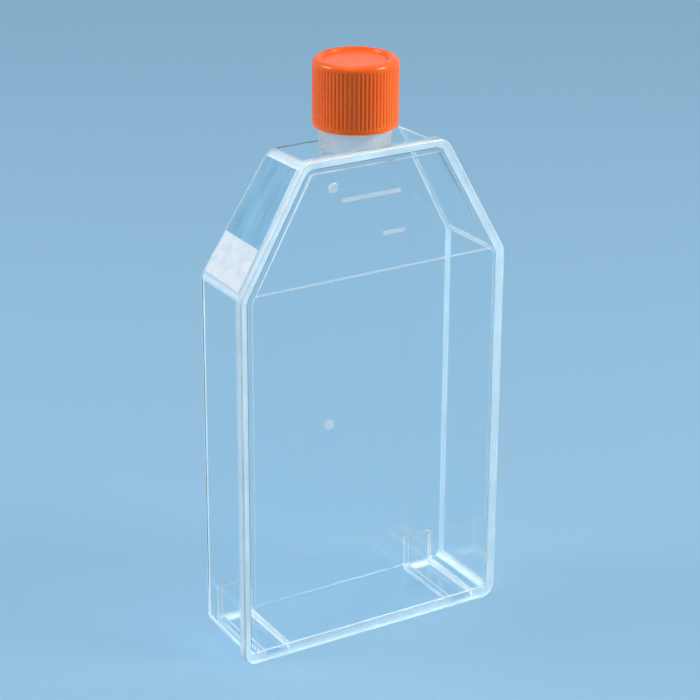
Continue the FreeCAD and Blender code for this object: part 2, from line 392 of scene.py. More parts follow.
class Nodes:
    """A material's node tree, and short ways to add to it."""

    def __init__(self, name: str) -> None:
        """Starts a material with a shader and its output.

        Args:
            name: The material's name.
        """
        self.material = bpy.data.materials.new(name)
        self.material.use_nodes = True
        self.tree = self.material.node_tree
        self.tree.nodes.clear()
        self.output = self.tree.nodes.new("ShaderNodeOutputMaterial")
        self.shader = self.tree.nodes.new("ShaderNodeBsdfPrincipled")
        self.join(self.shader.outputs["BSDF"], self.output.inputs["Surface"])
        self.place = self.tree.nodes.new("ShaderNodeTexCoord").outputs["Object"]

    def join(self, source: Socket, target: Socket) -> None:
        """Links two sockets."""
        self.tree.links.new(source, target)

    def feed(self, name: str, source: Socket) -> None:
        """Links a value to one of the shader's sockets."""
        self.join(source, self.shader.inputs[name])

    def set(self, **values: object) -> None:
        """Sets the shader's own sockets, named with underscores for spaces."""
        for name, value in values.items():
            self.shader.inputs[name.replace("_", " ")].default_value = value

    def noise(self, waves: Waves) -> Socket:
        """An uneven pattern that is fixed to the object.

        Args:
            waves: The pattern.

        Returns:
            The pattern's value, about 0.5 on average.
        """
        mapping = self.tree.nodes.new("ShaderNodeMapping")
        mapping.inputs["Scale"].default_value = waves.stretch
        self.join(self.place, mapping.inputs["Vector"])
        node = self.tree.nodes.new("ShaderNodeTexNoise")
        node.inputs["Scale"].default_value = waves.scale
        node.inputs["Detail"].default_value = waves.octaves
        self.join(mapping.outputs["Vector"], node.inputs["Vector"])
        return node.outputs["Fac"]

    def ranged(self, source: Socket, low: float, high: float,
               start: float = 0.3, end: float = 0.7) -> Socket:
        """Spreads a value from one range over another.

        Args:
            source: The value.
            low: What start becomes.
            high: What end becomes.
            start: The lower end of the source's range.
            end: The upper end of the source's range.

        Returns:
            The value in its new range.
        """
        node = self.tree.nodes.new("ShaderNodeMapRange")
        self.join(source, node.inputs["Value"])
        ends = {"From Min": start, "From Max": end, "To Min": low, "To Max": high}
        for name, value in ends.items():
            node.inputs[name].default_value = value
        return node.outputs["Result"]

    def blend(self, share: Socket, first: tuple, second: tuple) -> Socket:
        """A colour between two others.

        Args:
            share: 0 gives the first colour and 1 the second.
            first: The first colour, linear RGB.
            second: The second colour, linear RGB.

        Returns:
            The colour.
        """
        node = self.tree.nodes.new("ShaderNodeMix")
        node.data_type = "RGBA"
        self.join(share, node.inputs["Factor"])
        node.inputs["A"].default_value = (*first, 1)
        node.inputs["B"].default_value = (*second, 1)
        return node.outputs["Result"]

    def bump(self, relief: Relief) -> Socket:
        """Small relief, which the shader sees as a tilted normal.

        Args:
            relief: The relief.

        Returns:
            Its height, from 0 to 1.
        """
        height = self.noise(relief.waves)
        node = self.tree.nodes.new("ShaderNodeBump")
        node.inputs["Distance"].default_value = relief.depth
        node.inputs["Strength"].default_value = relief.strength
        self.join(height, node.inputs["Height"])
        self.feed("Normal", node.outputs["Normal"])
        return height

    def mix_in(self, share: Socket, other: Socket) -> None:
        """Shows another shader in place of part of the material's own."""
        show_mixed(self.tree, self.output, share, self.shader.outputs["BSDF"], other)

    def pass_lamps(self, share: tuple) -> None:
        """Lets lamps shine through the glass, which would otherwise cast a solid shadow.

        Args:
            share: How much of each colour a face lets through.
        """
        path = self.tree.nodes.new("ShaderNodeLightPath")
        window = self.tree.nodes.new("ShaderNodeBsdfTransparent")
        window.inputs["Color"].default_value = (*share, 1)
        self.mix_in(path.outputs["Is Shadow Ray"], window.outputs["BSDF"])

    def even_out(self, colour: tuple, share: float) -> None:
        """Shows a surface partly as an even colour, however the lamps fall on it.

        Args:
            colour: The colour.
            share: How much of what is seen is that colour.
        """
        part = self.tree.nodes.new("ShaderNodeMath")
        part.operation = "MULTIPLY"
        self.join(seen_rays(self.tree), part.inputs[0])
        part.inputs[1].default_value = share
        even = self.tree.nodes.new("ShaderNodeEmission")
        even.inputs["Color"].default_value = (*colour, 1)
        self.mix_in(part.outputs["Value"], even.outputs["Emission"])


@dataclass(frozen=True)
class ClearPolystyrene:
    """Polished clear polystyrene, with the faint unevenness of a moulded face."""

    name: str = "clear_polystyrene"
    tint: tuple = (0.975, 0.992, 1.0)
    haze: Waves = Waves(90, 4)
    roughness: tuple = (0.012, 0.05)
    ripple: Relief = Relief(Waves(35, 1), depth=0.02 * MM, strength=0.5)
    shadow: tuple = (0.72, 0.75, 0.77)

    def make(self) -> bpy.types.Material:
        """Builds the material.

        Returns:
            The finished material.
        """
        nodes = Nodes(self.name)
        nodes.set(Base_Color=(*self.tint, 1), IOR=POLYSTYRENE_IOR, Transmission_Weight=1.0)
        nodes.feed("Roughness", nodes.ranged(nodes.noise(self.haze), *self.roughness))
        nodes.bump(self.ripple)
        nodes.pass_lamps(self.shadow)
        return nodes.material


@dataclass(frozen=True)
class HazyPolystyrene:
    """Polystyrene whose face is frosted: a weld, a moulded texture or a gate's scar."""

    name: str
    colour: tuple = (0.95, 0.98, 1.0)
    clouded: float = 0.9
    clouds: Waves = Waves(120, 4)
    cloud_range: tuple = (0.35, 0.65)
    transmission: float = 0.6
    wear: Waves = Waves(400, 3)
    roughness: tuple = (0.35, 0.5)
    grain: Relief = Relief(Waves(2600, 2), depth=0.02 * MM, strength=0.6)
    shadow: float = 0.85

    def make(self) -> bpy.types.Material:
        """Builds the material.

        Returns:
            The finished material.
        """
        nodes = Nodes(self.name)
        nodes.set(IOR=POLYSTYRENE_IOR, Transmission_Weight=self.transmission)
        clouds = nodes.ranged(nodes.noise(self.clouds), 0, 1, *self.cloud_range)
        thin = tuple(self.clouded * value for value in self.colour)
        nodes.feed("Base Color", nodes.blend(clouds, thin, self.colour))
        nodes.feed("Roughness", nodes.ranged(nodes.noise(self.wear), *self.roughness))
        nodes.bump(self.grain)
        nodes.pass_lamps((self.shadow,) * 3)
        return nodes.material


@dataclass(frozen=True)
class WritingPatch:
    """Matt white ink, printed a little unevenly, for writing on."""

    name: str = "white_writing_patch"
    thin: tuple = (0.60, 0.68, 0.76)
    full: tuple = (0.72, 0.76, 0.82)
    roughness: float = 0.62
    cover: Waves = Waves(260, 5)
    cover_range: tuple = (0.35, 0.6)
    grain: Relief = Relief(Waves(3500, 2), depth=0.01 * MM, strength=0.5)

    def make(self) -> bpy.types.Material:
        """Builds the material.

        Returns:
            The finished material.
        """
        nodes = Nodes(self.name)
        nodes.set(Roughness=self.roughness, IOR=PLASTIC_IOR)
        cover = nodes.ranged(nodes.noise(self.cover), 0, 1, *self.cover_range)
        nodes.feed("Base Color", nodes.blend(cover, self.thin, self.full))
        nodes.bump(self.grain)
        return nodes.material


@dataclass(frozen=True)
class OrangePlastic:
    """Glossy orange moulding with a slight flow pattern."""

    name: str = "orange_cap"
    deep: tuple = (0.86, 0.105, 0.012)
    light: tuple = (0.95, 0.165, 0.02)
    specular: float = 0.2
    glow: float = 0.12
    glow_depth: float = 1.5 * MM
    glow_reach: tuple = (1.0, 0.35, 0.08)
    flow: Waves = Waves(60, 4, (1, 1, 0.4))
    wear: Waves = Waves(500, 4)
    roughness: tuple = (0.2, 0.32)
    grain: Relief = Relief(Waves(1500, 3), depth=0.02 * MM, strength=0.35)

    def make(self) -> bpy.types.Material:
        """Builds the material.

        Returns:
            The finished material.
        """
        nodes = Nodes(self.name)
        nodes.set(IOR=PLASTIC_IOR, Specular_IOR_Level=self.specular, Subsurface_Weight=self.glow)
        nodes.set(Subsurface_Scale=self.glow_depth, Subsurface_Radius=self.glow_reach)
        flow = nodes.ranged(nodes.noise(self.flow), 0, 1)
        nodes.feed("Base Color", nodes.blend(flow, self.deep, self.light))
        nodes.feed("Roughness", nodes.ranged(nodes.noise(self.wear), *self.roughness))
        nodes.bump(self.grain)
        return nodes.material


@dataclass(frozen=True)
class FoamSheet:
    """Fine foam of closed cells, off-white, with painted shade in the pits of its relief."""

    name: str = "foam_liner"
    skin: tuple = (0.80, 0.79, 0.75)
    # The darker colour, put in the relief's pits as painted shade.
    pit_shade: tuple = (0.62, 0.61, 0.57)
    roughness: float = 0.85
    cells: Relief = Relief(Waves(2200, 2), depth=0.08 * MM, strength=0.8)

    def make(self) -> bpy.types.Material:
        """Builds the material.

        Returns:
            The finished material.
        """
        nodes = Nodes(self.name)
        nodes.set(Roughness=self.roughness)
        # The low parts of the relief take the darker colour: painted shade in the pits.
        height = nodes.ranged(nodes.bump(self.cells), 0, 1)
        nodes.feed("Base Color", nodes.blend(height, self.pit_shade, self.skin))
        return nodes.material


@dataclass(frozen=True)
class StudioPaper:
    """Plain pale paper under and behind the flask."""

    name: str = "studio_paper"
    colour: tuple = (0.28, 0.47, 0.64)
    even_colour: tuple = (0.27, 0.50, 0.72)
    even_share: float = 0.6
    roughness: float = 0.9
    specular: float = 0.1
    grain: Relief = Relief(Waves(900, 3), depth=0.05 * MM, strength=0.2)

    def make(self) -> bpy.types.Material:
        """Builds the material.

        Returns:
            The finished material.
        """
        nodes = Nodes(self.name)
        nodes.set(Base_Color=(*self.colour, 1), Roughness=self.roughness)
        nodes.set(Specular_IOR_Level=self.specular)
        nodes.bump(self.grain)
        nodes.even_out(self.even_colour, self.even_share)
        return nodes.material


CLEAR = ClearPolystyrene()
PLATE = ClearPolystyrene(name="clear_polystyrene_plate", tint=(0.972, 0.990, 1.0))
WELD = HazyPolystyrene("weld_haze", colour=(0.62, 0.80, 0.92), transmission=0.25)
# The frosting's strong cyan colour is painted blue light from the surroundings, over its real haze
# and roughness.
FROST_AND_PAINTED_BLUE_LIGHT = HazyPolystyrene(
    "frosted_polystyrene_painted_blue_light", colour=(0.42, 0.79, 1.0), clouded=0.7,
    clouds=Waves(120, 4, (0.5, 2, 0.5)), transmission=0.88, roughness=(0.3, 0.4),
)
# The collar's pink colour is a painted reflection of the orange cap; the haze is the collar's finish.
NECK_HAZE_AND_CAP_REFLECTION = HazyPolystyrene(
    "neck_haze_painted_cap_reflection", colour=(1.0, 0.93, 0.91), transmission=0.7, roughness=(0.04, 0.12)
)
EDGE = HazyPolystyrene(
    "soft_edge", colour=(0.86, 0.95, 1.0), transmission=0.55, roughness=(0.1, 0.25)
)
FOOT = HazyPolystyrene(
    "foot_haze", colour=(0.88, 0.96, 1.0), transmission=0.45, roughness=(0.32, 0.45)
)
GATE = HazyPolystyrene("gate_scar", transmission=0.7, roughness=(0.32, 0.5))
PATCH = WritingPatch()
ORANGE = OrangePlastic()
FOAM = FoamSheet()


def dress(piece: Piece, *materials: bpy.types.Material) -> None:
    """Gives a piece its materials in place of those that it has.

    Args:
        piece: The object.
        materials: The first goes on every face until others are assigned.
    """
    piece.data.materials.clear()
    for material in materials:
        piece.data.materials.append(material)


def paint(piece: Piece, slot: int, test: Test) -> None:
    """Assigns a material to the faces that pass a test.

    Args:
        piece: The object.
        slot: The material's number on the object.
        test: Says of one face whether it is painted.
    """
    with editing(piece):
        pick(Pick.FACES, test)
        piece.active_material_index = slot
        bpy.ops.object.material_slot_assign()


# The flask


@dataclass(frozen=True)
class Places:
    """Where things are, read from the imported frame."""

    half_width: float
    top_z: float
    growth_y: float
    weld_y: float
    back_y: float
    neck_y: float
    bore_r: float
    lip_z: float
    skirt_z: float
    cap_r: float
    cap_inside_z: float
    cap_top_z: float
    liner_r: float

    @classmethod
    def read(cls) -> "Places":
        """Reads the nodes' boxes, the cap's axis and the neck's bore.

        Returns:
            The places.
        """
        tray_low, tray_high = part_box("flask_body")
        plate_low, plate_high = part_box("growth_plate")
        cap_low, cap_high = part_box("cap_shell")
        _, liner_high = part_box("cap_liner")
        turn = next(joint for joint in frame["joints"] if joint["name"] == "cap_turn")
        mouth = next(mount for mount in frame["record"]["mounts"] if mount["name"] == "neck_mouth")
        return cls(
            half_width=plate_high.x,
            top_z=plate_high.z,
            growth_y=plate_low.y,
            weld_y=tray_low.y,
            back_y=tray_high.y,
            neck_y=turn["pos_m"][1],
            bore_r=mouth["dims"]["r_mm"] * MM,
            lip_z=tray_high.z,
            skirt_z=cap_low.z,
            cap_r=(cap_high.x - cap_low.x) / 2,
            cap_inside_z=liner_high.z,
            cap_top_z=cap_high.z,
            liner_r=liner_high.x,
        )


@dataclass(frozen=True)
class Outline:
    """The rim's outline seen from the growth side, which every block of the flask follows."""

    half_width: float
    top_z: float
    half_top: float = 29.5 * MM
    shoulder_z: float = 146 * MM
    base_r: float = 5 * MM
    shoulder_r: float = 6 * MM
    top_r: float = 6 * MM
    least_r: float = 0.4 * MM
    segments: int = 10

    @property
    def lean(self) -> float:
        """The angle that the outline turns by at each shoulder."""
        return math.atan2(self.half_width - self.half_top, self.top_z - self.shoulder_z)

    def prism(self, name: str, side: float, base: float, front: float, back: float) -> Piece:
        """A prism on the outline, taken in.

        Args:
            name: The object's name.
            side: How far the sides, shoulders and top are taken in.
            base: How far the base is taken in.
            front: Its y on the growth side.
            back: Its y on the far side.

        Returns:
            The new mesh object.
        """
        half, top = self.half_width - side, self.top_z - side
        piece = block(name, (-half, front, base), (half, back, top))
        with editing(piece):
            for sign in (-1, 1):
                normal = (sign * math.cos(self.lean), 0, math.sin(self.lean))
                where = (
                    sign * self.half_width - side * normal[0], 0, self.shoulder_z - side * normal[2]
                )
                slice_off(where, normal)
            shoulder_turn, top_turn = self.lean, math.pi / 2 - self.lean
            corners = (
                (self.base_r, math.pi / 2, lambda z: z < base + TINY),
                (self.shoulder_r, shoulder_turn, lambda z: base + TINY < z < top - TINY),
                (self.top_r, top_turn, lambda z: z > top - TINY),
            )
            for radius, turn, belongs in corners:
                pick(
                    Pick.EDGES,
                    lambda edge: self.is_corner(edge, front, back) and belongs(edge.verts[0].co.z),
                )
                radius = max(radius - side, self.least_r)
                round_off(radius * math.tan(turn / 2), self.segments)
        return piece

    @staticmethod
    def is_corner(edge: Edge, front: float, back: float) -> bool:
        """True for an edge that still runs from front to back between two turned faces.

        Args:
            edge: The edge.
            front: The prism's y on the growth side.
            back: Its y on the far side.

        Returns:
            Whether it is such an edge.
        """
        first, second = (vertex.co for vertex in edge.verts)
        runs_through = abs(abs(first.y - second.y) - (back - front)) < TINY
        return runs_through and edge.calc_face_angle(0) > CORNER_ANGLE


class TrayFinish(IntEnum):
    """The tray's material slots, in order."""

    CLEAR = 0
    WELD = 1
    FROST_AND_PAINTED_BLUE_LIGHT = 2
    PATCH = 3
    GATE = 4
    EDGE = 5
    NECK_HAZE_AND_CAP_REFLECTION = 6
    FOOT = 7


class PlateFinish(IntEnum):
    """The growth plate's material slots, in order."""

    CLEAR = 0
    EDGE = 1
    BARS = 2


@dataclass
class Flask:
    """The clear body: the moulded tray with its neck, and the growth plate welded to it."""

    places: Places
    outline: Outline
    thread: "Thread"
    wall: float = 1.6 * MM
    flange_thickness: float = 2 * MM
    flange_overhang: float = 1.5 * MM
    flange_edge_r: float = 0.5 * MM
    draft: float = 0.5 * MM
    roof_edge_r: float = 2.4 * MM
    roof_edge_steps: int = 8
    least_edge_r: float = 0.4 * MM
    fold_z: float = 147 * MM
    fold_r: float = 8 * MM
    foot_width: float = 13 * MM
    foot_spacing: float = 83 * MM
    foot_height: float = 2.2 * MM
    foot_back: float = 1 * MM
    foot_reach: float = 17 * MM
    foot_heel_r: float = 3.2 * MM
    foot_heel_steps: int = 8
    foot_top_r: float = 1.6 * MM
    foot_top_steps: int = 5
    foot_edge_r: float = 0.8 * MM
    neck_wall: float = 1.7 * MM
    collar_step: float = 0.8 * MM
    collar_height: float = 6.8 * MM
    collar_chamfer: float = 0.6 * MM
    roof_behind_collar: float = 0.4 * MM
    lip_r: float = 0.5 * MM
    gate_r: float = 2.2 * MM
    gate_depth: float = 0.4 * MM
    gate_sides: int = 64
    gate_nub_r: float = 0.6 * MM
    gate_nub_height: float = 0.25 * MM
    gate_nub_sides: int = 32
    rim_width: float = 4.8 * MM
    panel_thickness: float = 1.8 * MM
    panel_recess: float = 0.7 * MM
    panel_clearance: float = 0.2 * MM
    plate_edge_r: float = 0.6 * MM
    plate_edge_steps: int = 5
    weld_gap: float = 0.02 * MM
    bend_width: float = 0.8 * MM
    bars: tuple = ((-13.5 * MM, 11.3 * MM, 176 * MM), (3 * MM, 13 * MM, 161 * MM))
    bar_height: float = 1.6 * MM
    bar_rise: float = 0.1 * MM
    bar_end_share: float = 0.9
    bar_end_steps: int = 5
    frost_margin: float = 2.2 * MM
    frost_end_margin: float = 0.6 * MM
    patch_length: float = 17 * MM
    neck_sides: int = 144

    @property
    def roof_y(self) -> float:
        """The roof's outside, below the fold."""
        return self.places.back_y - self.foot_back

    @property
    def neck_r(self) -> float:
        """The neck's outside between its threads."""
        return self.places.bore_r + self.neck_wall

    @property
    def neck_foot_z(self) -> float:
        """Where the neck's solid starts, inside the tray's top wall."""
        return self.places.top_z - self.flange_overhang - self.wall - self.roof_edge_r

    @property
    def gate_heights(self) -> tuple[float, float]:
        """The heights of the two gates, in the middles of the roof's two parts."""
        return self.fold_z / 2, (self.fold_z + self.places.top_z) / 2

    @property
    def ramp_rise(self) -> float:
        """How far the panel comes forward above the fold, to end level with the bore."""
        panel_back = self.places.growth_y + self.panel_recess + self.panel_thickness
        return self.places.neck_y - self.places.bore_r - panel_back

    @property
    def roof_lean(self) -> float:
        """The angle that the roof leans in by above the fold.

        Returns:
            The angle, in radians.
        """
        collar_back = self.places.neck_y + self.neck_r + self.collar_step
        fall = self.roof_y - collar_back - self.roof_behind_collar
        return math.atan2(fall, self.places.top_z - self.fold_z)

    @property
    def ramp_lean(self) -> float:
        """The angle that the panel leans by above the fold."""
        return math.atan2(self.ramp_rise, self.places.top_z - self.fold_z)

    def tray_form(self, name: str, inset: float, front: float) -> Piece:
        """The tray without its flange, feet and neck.

        Args:
            name: The object's name.
            inset: How far it is taken in from the tray's outside.
            front: Its y on the growth side.

        Returns:
            The new mesh object.
        """
        side, base = self.flange_overhang + inset, self.foot_height + inset
        back = self.roof_y - inset
        rounding = max(self.roof_edge_r - inset, self.least_edge_r)
        piece = self.outline.prism(name, side, base, front, back - rounding)
        half, top = self.outline.half_width - side, self.outline.top_z - side
        with editing(piece):
            pick(Pick.FACES, lambda face: face.normal.y > TOWARDS)
            shrink = (1 - self.draft / half, 1, 1 - 2 * self.draft / (top - base))
            bpy.ops.transform.resize(value=shrink, center_override=(0, back, (base + top) / 2))
            steps = self.roof_edge_steps
            turns = [math.pi / 2 * step / steps for step in range(steps + 1)]
            for before, after in zip(turns, turns[1:]):
                bpy.ops.mesh.inset(
                    thickness=rounding * (math.cos(before) - math.cos(after)),
                    depth=rounding * (math.sin(after) - math.sin(before)),
                )
        self.fold_back(piece, (front + back) / 2, back, inset)
        return piece

    def fold_back(self, piece: Piece, middle: float, back: float, inset: float) -> None:
        """Leans the back of a tray's form in above the fold, in two equal bends.

        Args:
            piece: The form.
            middle: A y between its front and its back.
            back: The y of its back.
            inset: How far the form is taken in.
        """
        half_turn = self.roof_lean / 2
        reach = (self.fold_r - inset) * math.tan(half_turn)
        hinge = (0, back, self.fold_z - inset * math.tan(half_turn) - reach)
        bend(piece, hinge, 2 * reach, -half_turn, middle, stretch=1 / math.cos(half_turn))

    def foot(self, side: int, inset: float, front: float) -> Piece:
        """One of the two feet that the flask stands on beside its rim.

        Args:
            side: -1 or 1, for the side of x.
            inset: How far it is taken in from the foot's outside.
            front: Its y on the growth side.

        Returns:
            The new mesh object.
        """
        middle, half = side * self.foot_spacing / 2, self.foot_width / 2 - inset
        back, top = self.places.back_y - inset, self.foot_reach - inset
        piece = block("foot", (middle - half, front, inset), (middle + half, back, top))

        def runs_across(edge: Edge, z: float) -> bool:
            """True for the far edge along x at a height."""
            return all(abs(v.co.z - z) < TINY and v.co.y > back - TINY for v in edge.verts)

        def faces_aside(normal: Vector) -> bool:
            """True for a side of the foot."""
            return abs(normal.x) > TOWARDS

        def faces_out(normal: Vector) -> bool:
            """True for the foot's back, its roundings and its sole."""
            return normal.y > LEVEL / 2 or normal.z < -TOWARDS

        with editing(piece):
            pick(Pick.EDGES, lambda edge: runs_across(edge, inset))
            round_off(self.foot_heel_r - inset, self.foot_heel_steps)
            if not inset:
                pick(Pick.EDGES, lambda edge: runs_across(edge, top))
                round_off(self.foot_top_r, self.foot_top_steps)
                pick(Pick.EDGES, lambda edge: edge_between(edge, faces_aside, faces_out))
                round_off(self.foot_edge_r)
        return piece

    def neck(self) -> Piece:
        """The neck before it is bored: collar, wall and rounded lip.

        Returns:
            The new mesh object.
        """
        places = self.places
        collar_r, collar_z = self.neck_r + self.collar_step, places.top_z + self.collar_height
        profile = eased([
            (collar_r, self.neck_foot_z, 0),
            (collar_r, collar_z - self.collar_chamfer, self.collar_chamfer / 2),
            (self.neck_r, collar_z, 0),
            (self.neck_r, places.lip_z, self.lip_r),
            (places.bore_r - self.lip_r, places.lip_z, 0),
        ])
        return turned("neck", places.neck_y, profile, self.neck_sides)

    def bore(self) -> Piece:
        """What is cut out of the neck, with the lip's inner edge just broken.

        Returns:
            The new mesh object.
        """
        places = self.places
        profile = [
            (places.bore_r, self.neck_foot_z),
            (places.bore_r, places.lip_z - self.lip_r / 2),
            (places.bore_r + self.lip_r, places.lip_z + self.lip_r / 2),
        ]
        return turned("bore", places.neck_y, profile, self.neck_sides)

    def roof_point(self, z: float) -> tuple[Vector, Vector]:
        """Where the roof is at a height, and which way it faces.

        Args:
            z: The height.

        Returns:
            The point in the middle of the roof, and the outward normal.
        """
        lean = self.roof_lean if z > self.fold_z else 0
        fall = max(z - self.fold_z, 0) * math.tan(lean)
        return Vector((0, self.roof_y - fall, z)), Vector((0, math.cos(lean), math.sin(lean)))

    def gate_marks(self) -> tuple[list[Piece], list[Piece]]:
        """Cutters for the two gates' dimples, and the nubs that stand in them.

        Returns:
            The cutters and the nubs.
        """
        dimples, nubs = [], []
        for z in self.gate_heights:
            point, outwards = self.roof_point(z)
            floor = point - outwards * self.gate_depth
            turn = (math.atan2(outwards.z, outwards.y) - math.pi / 2, 0, 0)
            bpy.ops.mesh.primitive_cylinder_add(
                vertices=self.gate_sides, radius=self.gate_r, depth=2 * self.gate_depth,
                location=point, rotation=turn,
            )
            dimples.append(settle(bpy.context.object, "dimple"))
            with editing(dimples[-1]):
                pick(
                    Pick.EDGES,
                    lambda edge: all(abs((v.co - floor).dot(outwards)) < TINY for v in edge.verts),
                )
                round_off(self.gate_depth / 2)
            root = point - outwards * (1.5 * self.gate_depth - self.gate_nub_height / 2)
            bpy.ops.mesh.primitive_cone_add(
                vertices=self.gate_nub_sides, radius1=self.gate_nub_r, radius2=self.gate_nub_r / 2,
                depth=self.gate_nub_height + self.gate_depth, location=root, rotation=turn,
            )
            nubs.append(settle(bpy.context.object, "nub"))
        return dimples, nubs

    def tray(self) -> Piece:
        """Moulds the tray: roof, walls, flange, hollow feet and threaded neck.

        Returns:
            The new mesh object, without its materials.
        """
        places = self.places
        back = places.weld_y + self.flange_thickness
        inside_flange = places.weld_y + self.flange_thickness / 4
        before_weld = places.weld_y - self.wall
        body = self.outline.prism("flask_tray", 0, 0, places.weld_y, back)
        with editing(body):
            pick(Pick.EDGES, lambda edge: all(v.co.y > back - TINY for v in edge.verts))
            round_off(self.flange_edge_r)
        dimples, nubs = self.gate_marks()
        feet = [self.foot(side, 0, inside_flange) for side in (-1, 1)]
        combine(body, Join.ADD, [self.tray_form("outside", 0, inside_flange), *feet, self.neck()])
        hollow_feet = [self.foot(side, self.wall, before_weld) for side in (-1, 1)]
        inside = self.tray_form("inside", self.wall, before_weld)
        combine(body, Join.CUT, [inside, *hollow_feet, self.bore(), *dimples])
        combine(body, Join.ADD, [self.thread.neck_ridge(self.neck_r, places.lip_z), *nubs])
        return body

    def lean_back(self, panel: Piece, back: float) -> None:
        """Turns the part of a panel's back face above the fold, which rises to the neck's bore.

        Args:
            panel: The panel's block.
            back: The y of its back face.
        """
        hinge = (0, back, self.fold_z - self.bend_width / 2)
        bend(panel, hinge, self.bend_width, self.ramp_lean / 2, back - TINY)

    def panel_point(self, z: float) -> Vector:
        """The point of the growth panel's outside at a height, in the flask's middle."""
        rise = self.ramp_rise * max(z - self.fold_z, 0) / (self.places.top_z - self.fold_z)
        return Vector((0, self.places.growth_y + self.panel_recess + rise, z))

    def plain_bars(self) -> list[Piece]:
        """Two plain raised bars on the ramp, where such a flask carries its moulded legend.

        Returns:
            The bars, rooted in the panel.
        """
        bars = []
        for low_x, high_x, z in self.bars:
            place, half = self.panel_point(z), self.bar_height / 2
            front, back = place.y - self.bar_rise, place.y + self.bar_rise
            bar = block("bar", (low_x, front, z - half), (high_x, back, z + half))
            with editing(bar):
                pick(
                    Pick.EDGES,
                    lambda edge: abs(edge.verts[0].co.y - edge.verts[1].co.y) > self.bar_rise,
                )
                round_off(half * self.bar_end_share, self.bar_end_steps)
                bpy.ops.mesh.select_all(action="SELECT")
                bpy.ops.transform.rotate(
                    value=self.ramp_lean, orient_axis="X", center_override=place
                )
            bars.append(bar)
        return bars

    def plate(self) -> Piece:
        """Moulds the growth plate: its rim, its recessed panel and the step that fits the tray.

        Returns:
            The new mesh object, without its materials.
        """
        places = self.places
        front, panel_front = places.growth_y, places.growth_y + self.panel_recess
        panel_back = panel_front + self.panel_thickness
        body = self.outline.prism("growth_plate_rim", 0, 0, front, places.weld_y - self.weld_gap)
        with editing(body):
            pick(Pick.EDGES, lambda edge: all(v.co.y < front + TINY for v in edge.verts))
            round_off(self.plate_edge_r, self.plate_edge_steps)
        fit = self.wall + self.panel_clearance
        step = self.outline.prism(
            "step", self.flange_overhang + fit, self.foot_height + fit, panel_front, panel_back
        )
        pocket = self.outline.prism(
            "pocket", self.rim_width, self.rim_width, front - self.rim_width, panel_front
        )
        self.lean_back(step, panel_back)
        self.lean_back(pocket, panel_front)
        combine(body, Join.ADD, [step])
        combine(body, Join.CUT, [pocket])
        combine(body, Join.ADD, self.plain_bars())
        return body

    def mark_shoulder(self, tray: Piece) -> None:
        """Scores the left shoulder's outside where its frosting and its white patch begin and end.

        Args:
            tray: The moulded tray.
        """
        places, lean = self.places, self.outline.lean
        facing = Vector((-math.cos(lean), 0, math.sin(lean)))
        along = Vector((math.sin(lean), 0, math.cos(lean)))
        corner = Vector((-self.outline.half_width, 0, self.outline.shoulder_z))
        length = (places.top_z - self.outline.shoulder_z) / math.cos(lean)

        def on_shoulder(face: Face) -> bool:
            """True for the flat outside of the left shoulder's wall.

            Args:
                face: A face of the tray.

            Returns:
                Whether it is on that flat.
            """
            from_rim = (face.calc_center_median() - corner).dot(facing)
            at_wall = abs(from_rim + self.flange_overhang) < self.draft + TINY
            return face.normal.dot(facing) > FLUSH and at_wall

        front = places.weld_y + self.flange_thickness + self.frost_margin
        below, above = math.tan(lean / 2), math.tan(math.pi / 4 - lean / 2)
        low = self.frost_end_margin + self.outline.shoulder_r * below
        high = length - self.frost_end_margin - self.outline.top_r * above
        cuts = (
            ((0, front, 0), (0, 1, 0)),
            (corner + along * low, along),
            (corner + along * (low + self.patch_length), along),
            (corner + along * high, along),
        )
        with editing(tray):
            for where, normal in cuts:
                pick(Pick.FACES, on_shoulder)
                bpy.ops.mesh.bisect(plane_co=where, plane_no=normal)

        def between(face: Face, start: float, end: float) -> bool:
            """True for the shoulder's faces behind the front margin and between two heights.

            Args:
                face: A face of the tray.
                start: The lower height along the shoulder.
                end: The upper height.

            Returns:
                Whether it is one of them.
            """
            middle = face.calc_center_median()
            reach = (middle - corner).dot(along)
            return on_shoulder(face) and middle.y > front and start < reach < end

        # The frosted faces carry the painted blue light of the surroundings.
        paint(tray, TrayFinish.FROST_AND_PAINTED_BLUE_LIGHT, lambda face: between(face, low, high))
        paint(tray, TrayFinish.PATCH, lambda face: between(face, low, low + self.patch_length))

    def is_rounded(self, face: Face) -> bool:
        """True for the rounded edges of the body, and not for its flats or its neck.

        Args:
            face: A face of the tray or of the plate.

        Returns:
            Whether it is part of a rounding.
        """
        lean, roof_lean, ramp_lean = self.outline.lean, self.roof_lean, self.ramp_lean
        flats = (
            (1, 0, 0), (0, 1, 0), (0, 0, 1),
            (0, math.cos(roof_lean), math.sin(roof_lean)),
            (0, -math.cos(ramp_lean), math.sin(ramp_lean)),
            (math.cos(lean), 0, math.sin(lean)), (-math.cos(lean), 0, math.sin(lean)),
        )
        middle = face.calc_center_median()
        from_axis = math.hypot(middle.x, middle.y - self.places.neck_y)
        on_neck = from_axis < self.neck_r + self.collar_step + TINY and middle.z > self.neck_foot_z
        is_flat = any(abs(face.normal.dot(Vector(flat))) > FLAT for flat in flats)
        is_low = middle.z < self.places.top_z - self.rim_width and not self.is_on_foot(middle)
        is_behind = middle.y > self.places.weld_y + self.flange_thickness
        runs_level = abs(face.normal.x) < LEVEL and is_low and is_behind
        return not (is_flat or runs_level or on_neck)

    def is_on_foot(self, place: Vector) -> bool:
        """True for a point within the feet's width and height."""
        from_middle = abs(abs(place.x) - self.foot_spacing / 2)
        return place.z < self.foot_reach and from_middle < self.foot_width / 2 + TINY

